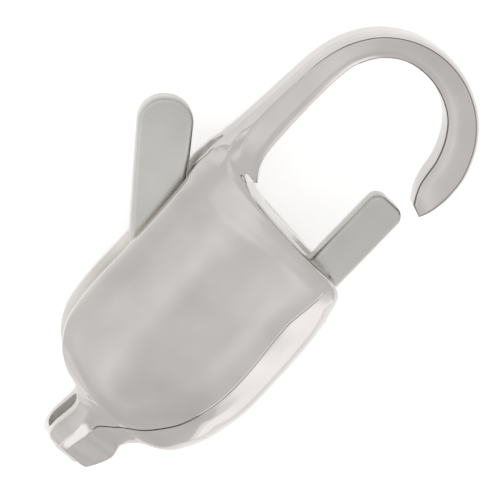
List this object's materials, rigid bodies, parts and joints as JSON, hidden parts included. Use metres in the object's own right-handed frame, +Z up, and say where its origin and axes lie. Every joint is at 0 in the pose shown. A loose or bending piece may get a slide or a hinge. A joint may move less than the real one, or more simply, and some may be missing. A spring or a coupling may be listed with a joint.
{
  "type": "lobster clasp",
  "caption": "Lobster clasp for a chain or bracelet: puffed hollow metal body with a curved hook, a sprung gate worked by a thumb lever, and an eye at the tail for a ring.",
  "frame": {"origin": "on the surface the clasp lies on, under the middle of its bounding box", "axes": "+X from the tail eye to the hook's bend, +Y towards the thumb lever, +Z up through the clasp's thickness"},
  "size_m": [0.016, 0.0084, 0.0033],
  "materials": {
    "polished_white_metal": "bright polished white metal",
    "pin_steel": "plain drawn steel"
  },
  "bodies": {
    "body": {"clasp_body": "polished_white_metal", "pivot_pin": "pin_steel"},
    "tongue": {"gate_lever": "polished_white_metal"}
  },
  "joints": [
    {"name": "gate_hinge", "type": "hinge", "parent": "body", "child": "tongue", "pos_m": [-0.00196, -0.00241, 0.00165], "axis": [0, 0, 1], "range_deg": [0, 28], "stiffness_Nm_per_rad": 0.01, "springref_deg": -22.92}
  ]
}
